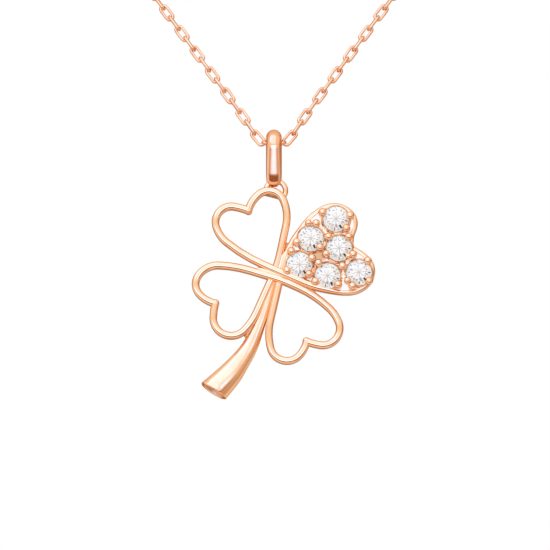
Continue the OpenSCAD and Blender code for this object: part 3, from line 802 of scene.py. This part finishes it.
def spotOn(path, lengths, s):
    low, high = 0, len(lengths) - 1
    while high - low > 1:
        mid = (low + high) // 2
        if lengths[mid] <= s:
            low = mid
        else:
            high = mid
    t = (s - lengths[low]) / (lengths[high] - lengths[low])
    flow = (path[high] - path[low]).normalized()
    p = path[low] + (path[high] - path[low]) * t
    outward = Vector((p.x, p.y - linkLook["loopMiddle"], 0))
    side = flow.cross(outward).normalized()
    return p, flow, side, side.cross(flow)


def linkShape(long, wide, bends):
    radius = wide / 2 - linkLook["wire"]
    straight = long / 2 - wide / 2
    made = []
    for end in (1, -1):
        for k in range(bends // 2):
            a = math.pi * (k / (bends // 2 - 1) - 0.5) + (0 if end > 0 else math.pi)
            made.append((end * straight + radius * math.cos(a), radius * math.sin(a)))
    return made


def linkRings(shape, around, placeAt):
    rings = []
    for i, (x, y) in enumerate(shape):
        before, after = shape[i - 1], shape[(i + 1) % len(shape)]
        run = Vector((after[0] - before[0], after[1] - before[1])).normalized()
        p, flow, wide, deep = placeAt(x)
        outwards = flow * run.y - wide * run.x
        rings.append([p + wide * y + linkLook["wire"] * (math.cos(a) * outwards + math.sin(a) * deep)
                      for a in (2 * math.pi * (k + 0.5) / around for k in range(around))])
    return rings


def straightLink(wide):
    along, across, deep = Matrix.Identity(3)
    shape = linkShape(linkLook["long"], wide, linkLook["bends"])
    rings = linkRings(shape, linkLook["around"], lambda x: (along * x, along, across, deep))
    bm = bmesh.new()
    bridgeRings(bm, rings, closedPath=True)
    mesh = bpy.data.meshes.new("link")
    bm.to_mesh(mesh)
    bm.free()
    return mesh


def addLink(bm, link, spot, upright):
    p, flow, side, out = spot
    wide, deep = (side, -out) if upright else (out, side)
    turn = Matrix((flow, wide, deep)).transposed().to_4x4()
    placed = link.copy()
    placed.transform(Matrix.Translation(p) @ turn)
    bm.from_mesh(placed)
    bpy.data.meshes.remove(placed)


def addBentLink(bm, path, lengths, middle, half):
    shape = linkShape(half * 2, linkLook["wide"], bentLook["bends"])
    dense = []
    for i, (x, y) in enumerate(shape):
        nx, ny = shape[(i + 1) % len(shape)]
        pieces = max(1, math.ceil(abs(nx - x) / bentLook["step"]))
        dense += [(x + (nx - x) * k / pieces, y + (ny - y) * k / pieces) for k in range(pieces)]

    def placeAt(x):
        p, flow, side, out = spotOn(path, lengths, middle + x)
        return p, flow, out, side

    bridgeRings(bm, linkRings(dense, bentLook["around"], placeAt), closedPath=True)


def buildChain():
    c, k = claspLook, linkLook
    claspMiddle = (c["clasp"] - c["tube"]) / 2
    ringMiddle = (c["ring"] - c["ringWire"]) / 2
    ringX = claspMiddle - c["tube"] / 2 - c["gap"] - c["ringWire"] / 2 + ringMiddle
    loopX = -c["clasp"] / 2 - (c["loop"] - c["loopWire"]) / 2 + c["loopWire"] / 4
    endReach = k["long"] / 2 - k["wire"]
    lastRight = ringX + c["ring"] / 2 - c["ringWire"] - k["wire"] - c["ringPlay"] + endReach
    lastLeft = loopX - c["loop"] / 2 + c["loopWire"] + k["wire"] + c["play"] - endReach
    right = [Vector(p) for p in chainRoute] + [Vector((lastRight, 0, 0))]
    left = [Vector((-p[0], p[1], p[2])) for p in chainRoute] + [Vector((lastLeft, 0, 0))]
    path = smoothPath(list(reversed(left)) + right[1:])
    lengths = pathLengths(path)
    middle = lengths[min(range(len(path)), key=lambda i: (path[i] - right[0]).length)]
    bm = bmesh.new()
    addBentLink(bm, path, lengths, middle, k["first"] - endReach + 2 * k["wire"] + bentLook["spare"])
    link, endLink = straightLink(k["wide"]), straightLink(k["endWide"])
    total = 1
    for way, room in ((1, lengths[-1] - middle), (-1, middle)):
        count = round((room - k["first"]) / k["pitch"] / 2) * 2
        stride = (room - k["first"]) / count
        for i in range(count + 1):
            s = middle + way * (k["first"] + i * stride)
            spot = spotOn(path, lengths, min(max(s, 0.0), lengths[-1]))
            addLink(bm, endLink if i == count else link, spot, i % 2 == 0)
            total += 1
        print("links on one side", count + 1, "stride", round(stride, 4))
    for mesh in (link, endLink):
        bpy.data.meshes.remove(mesh)
    made = finishObject("chainLinks", bm, gold["roseGoldChain"], "necklace", toMetres, k["crease"])
    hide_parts("chain")
    print("chain made:", total, "links,", round(lengths[-1], 1), "mm")
    return made


buildChain()


# The solids that are shown as they are: the clasp, its ring and the stones

def dress(node, material):
    node.data.materials.clear()
    node.data.materials.append(material)


for name in ("clasp", "end_ring"):
    dress(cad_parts[name], gold["roseGoldChain"])
for index, (spot, turn) in enumerate(zip(stones, gemLook["turns"]), 1):
    centre = cloverPlace @ Vector((spot[0] * pitch, spot[1] * pitch, gemLook["girdle"]))
    dress(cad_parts["stone_%d" % index], makeGem(index, centre, turn))
print("stones and clasp dressed")


# Studio: pale and dark zones for the metal to mirror, and plain white behind

studio = {"distance": 0.48, "target": (0.000095, -0.112, -0.09532), "below": 6.0, "wide": 0.0476,
          "sensor": 36, "clip": (0.01, 10)}
zoneWays = {"leftUp": (-0.80, -0.45, 0.40), "softBox": (-0.35, -0.60, 0.72), "lowRight": (0.72, -0.30, -0.62),
            "lowRightEdge": (0.60, 0.58, -0.55)}
zoneTones = {"airLow": (0.95, 0.72, 0.56), "airHigh": (1.0, 0.79, 0.62), "leftUp": (1.0, 0.86, 0.71),
             "front": (0.98, 0.84, 0.71), "softBox": (1.3, 1.65, 2.4), "strip": (1.2, 1.42, 1.75),
             "lowCard": (1.35, 1.85, 2.8), "rightSide": (0.56, 0.33, 0.19), "lowRight": (0.62, 0.40, 0.28),
             "card": (0.30, 0.10, 0.02), "edgeRight": (0.36, 0.17, 0.08), "edgeLeft": (0.38, 0.20, 0.11),
             "lowRightEdge": (0.92, 0.72, 0.56)}
# How far the curved zones bend down to the sides, and how strong the last two are
zoneShape = {"lowSag": 0.3, "cardSag": 0.26, "cardEndSag": 0.8, "cardRight": 0.6, "graze": 0.34,
             "edgeTop": 0.85, "edgeDark": 0.9, "lowRightEdge": 0.8}

world = bpy.data.worlds.new("softStudio")
bpy.context.scene.world = world
world.use_nodes = True
sky = Graph(world.node_tree)
way = sky.node("ShaderNodeTexCoord", "Generated")
right, depth, up = sky.split(way)
front = -depth
leftUp, softBox, lowRight, lowRightEdge = (sky.dot(way, zoneWays[key]) for key in zoneWays)
sag = right * right

# Above the front, a bright strip; below it, a bright card and then a dark one; behind, a dark edge
strip = (1 - abs(right + 0.05).ramp(0.32, 0.58)) * up.ramp(0.06, 0.25) * front.ramp(0.1, 0.35)
lowCard = (1 - abs(right + 0.06).ramp(0.40, 0.64)) * (1 - up.ramp(-0.05, 0.07)) \
    * (up - sag * zoneShape["lowSag"]).ramp(-0.37, -0.28)
card = (up - sag * zoneShape["cardSag"]).ramp(-0.27, -0.42) * front.ramp(0.02, 0.22) \
    * (1 - (up - sag * zoneShape["cardEndSag"]).ramp(-0.68, -0.78)) \
    * (1 - right.ramp(0.45, 0.9) * zoneShape["cardRight"])
grazing = front + up.ramp(0.1, -0.5) * zoneShape["graze"]
edgeDark = grazing.ramp(0.0, -0.26) * (1 - up.ramp(0.2, 0.75) * zoneShape["edgeTop"])
edgeTone = sky.blend(leftUp.ramp(-0.3, 0.3), zoneTones["edgeRight"], zoneTones["edgeLeft"])

air = sky.blend(up.ramp(-0.5, 0.4), zoneTones["airLow"], zoneTones["airHigh"])
for mask, tone in ((leftUp.ramp(0.30, 0.8), zoneTones["leftUp"]),
                   (front.ramp(0.90, 0.985), zoneTones["front"]),
                   (softBox.ramp(0.80, 0.93), zoneTones["softBox"]),
                   (strip, zoneTones["strip"]),
                   (lowCard, zoneTones["lowCard"]),
                   (right.ramp(0.86, 0.98), zoneTones["rightSide"]),
                   (lowRight.ramp(0.86, 0.97), zoneTones["lowRight"]),
                   (card, zoneTones["card"]),
                   (edgeDark * zoneShape["edgeDark"], edgeTone),
                   (lowRightEdge.ramp(0.80, 0.92) * zoneShape["lowRightEdge"], zoneTones["lowRightEdge"])):
    air = sky.blend(mask, air, tone)

nodes, links = world.node_tree.nodes, world.node_tree.links
mirrored = nodes["Background"]
feed(mirrored.inputs["Color"], air)
plain = nodes.new("ShaderNodeBackground")
feed(plain.inputs["Color"], (1.0, 1.0, 1.0, 1))
choice = nodes.new("ShaderNodeMixShader")
feed(choice.inputs[0], sky.node("ShaderNodeLightPath", "Is Camera Ray"))
links.new(mirrored.outputs[0], choice.inputs[1])
links.new(plain.outputs[0], choice.inputs[2])
links.new(choice.outputs[0], nodes["World Output"].inputs[0])

floorLook = {"level": -0.166, "size": 2.0, "grain": 30.0, "rough": 0.6, "grey": (0.93, 0.93, 0.93),
             "pale": (0.96, 0.96, 0.96)}
floorMaterial, floorGraph, floorShader = newMaterial("paleFloor")
grain = floorGraph.node("ShaderNodeTexNoise", "Fac", {},
                        {"Vector": floorGraph.place(), "Scale": floorLook["grain"]})
feed(floorShader.inputs["Base Color"], floorGraph.blend(grain, floorLook["grey"], floorLook["pale"]))
feed(floorShader.inputs["Roughness"], floorLook["rough"])
bm = bmesh.new()
bmesh.ops.create_grid(bm, x_segments=1, y_segments=1, size=floorLook["size"])
mesh = bpy.data.meshes.new("floor")
bm.to_mesh(mesh)
bm.free()
mesh.materials.append(floorMaterial)
floor = bpy.data.objects.new("floor", mesh)
floor.location = (0, 0, floorLook["level"])
floor.visible_glossy = False
bpy.context.scene.collection.objects.link(floor)

lens = bpy.data.cameras.new("studioCamera")
lens.sensor_width = studio["sensor"]
lens.lens = studio["sensor"] * studio["distance"] / studio["wide"]
lens.clip_start, lens.clip_end = studio["clip"]
camera = bpy.data.objects.new("studioCamera", lens)
bpy.context.scene.collection.objects.link(camera)
tilt = math.radians(studio["below"])
back = Vector((0, -math.cos(tilt), -math.sin(tilt)))
camera.location = Vector(studio["target"]) + back * studio["distance"]
camera.rotation_euler = (-back).to_track_quat("-Z", "Y").to_euler()
bpy.context.scene.camera = camera
bpy.context.scene.view_settings.view_transform = "Standard"
print("studio made")
